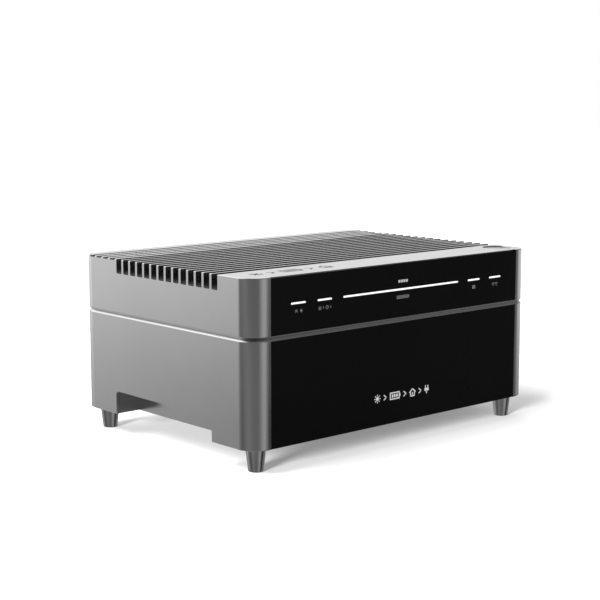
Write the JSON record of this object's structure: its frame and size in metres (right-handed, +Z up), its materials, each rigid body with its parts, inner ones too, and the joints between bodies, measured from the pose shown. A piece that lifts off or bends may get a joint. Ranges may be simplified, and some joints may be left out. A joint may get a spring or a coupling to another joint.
{
  "type": "home energy storage unit",
  "caption": "Free-standing home battery: finned inverter head stacked on a battery module, black glass front with light bars, finger recesses and tapered feet.",
  "frame": {"origin": "on the floor under the middle of the object's box", "axes": "+X to the right seen from the front, +Y to the rear (the black glass front faces -Y), +Z up"},
  "size_m": [0.46, 0.328, 0.2171],
  "materials": {
    "silver_body": "satin silver-grey anodised",
    "black_glass": "gloss, opaque black backing",
    "dark_steel": "polished dark",
    "light_guide": "white, lit from behind",
    "black_plastic": "matt black",
    "rubber": "matt",
    "cell_case": "blue film over aluminium can",
    "plain_metal": "mill finish",
    "copper": "copper",
    "green_board": "solder mask"
  },
  "bodies": {
    "battery_module": {"battery_shell": "silver_body", "battery_front_glass": "black_glass", "battery_base": "plain_metal", "battery_top_plate": "plain_metal", "recess_liner_left": "silver_body", "recess_liner_right": "silver_body", "foot_front_left": "dark_steel", "foot_front_right": "dark_steel", "foot_rear_left": "dark_steel", "foot_rear_right": "dark_steel", "foot_pad_front_left": "rubber", "foot_pad_front_right": "rubber", "foot_pad_rear_left": "rubber", "foot_pad_rear_right": "rubber", "cell_tray": "black_plastic", "cell_1": "cell_case", "cell_2": "cell_case", "cell_3": "cell_case", "cell_4": "cell_case", "cell_5": "cell_case", "cell_6": "cell_case", "cell_7": "cell_case", "cell_8": "cell_case", "end_plate_left": "plain_metal", "end_plate_right": "plain_metal", "busbar_plate_front": "copper", "busbar_plate_rear": "copper", "bms_board": "green_board", "bms_heatsink": "plain_metal", "main_fuse": "black_plastic", "battery_socket": "black_plastic", "seam_gasket": "rubber"},
    "head_unit": {"head_housing": "silver_body", "head_front_glass": "black_glass", "light_bar_grid": "light_guide", "light_bar_backup": "light_guide", "light_bar_charge": "light_guide", "light_bar_solar": "light_guide", "light_bar_network": "light_guide", "display_board": "green_board", "head_bottom_plate": "plain_metal", "head_plug": "black_plastic", "inverter_board": "green_board", "power_module": "black_plastic", "heat_spreader": "plain_metal", "transformer": "copper", "capacitor_1": "plain_metal", "capacitor_2": "plain_metal", "button_switch": "black_plastic", "connector_panel": "black_plastic", "backup_outlet": "black_plastic", "solar_input_1": "black_plastic", "solar_input_2": "black_plastic", "solar_input_3": "black_plastic", "solar_input_4": "black_plastic", "grid_inlet": "black_plastic", "data_port": "black_plastic", "ground_terminal": "copper"},
    "power_button": {"power_button": "silver_body"},
    "backup_cover": {"backup_cover": "black_plastic"}
  },
  "joints": [
    {"name": "head_lift", "type": "slide", "parent": "battery_module", "child": "head_unit", "axis": [0, 0, 1], "range_m": [0, 0.08]},
    {"name": "button_press", "type": "slide", "parent": "head_unit", "child": "power_button", "axis": [0, 0, -1], "range_m": [0, 0.0015], "stiffness_N_per_m": 800, "springref_m": -0.001},
    {"name": "cover_hinge", "type": "hinge", "parent": "head_unit", "child": "backup_cover", "pos_m": [0.01, 0.1589, 0.1998], "axis": [1, 0, 0], "range_deg": [0, 95]}
  ]
}
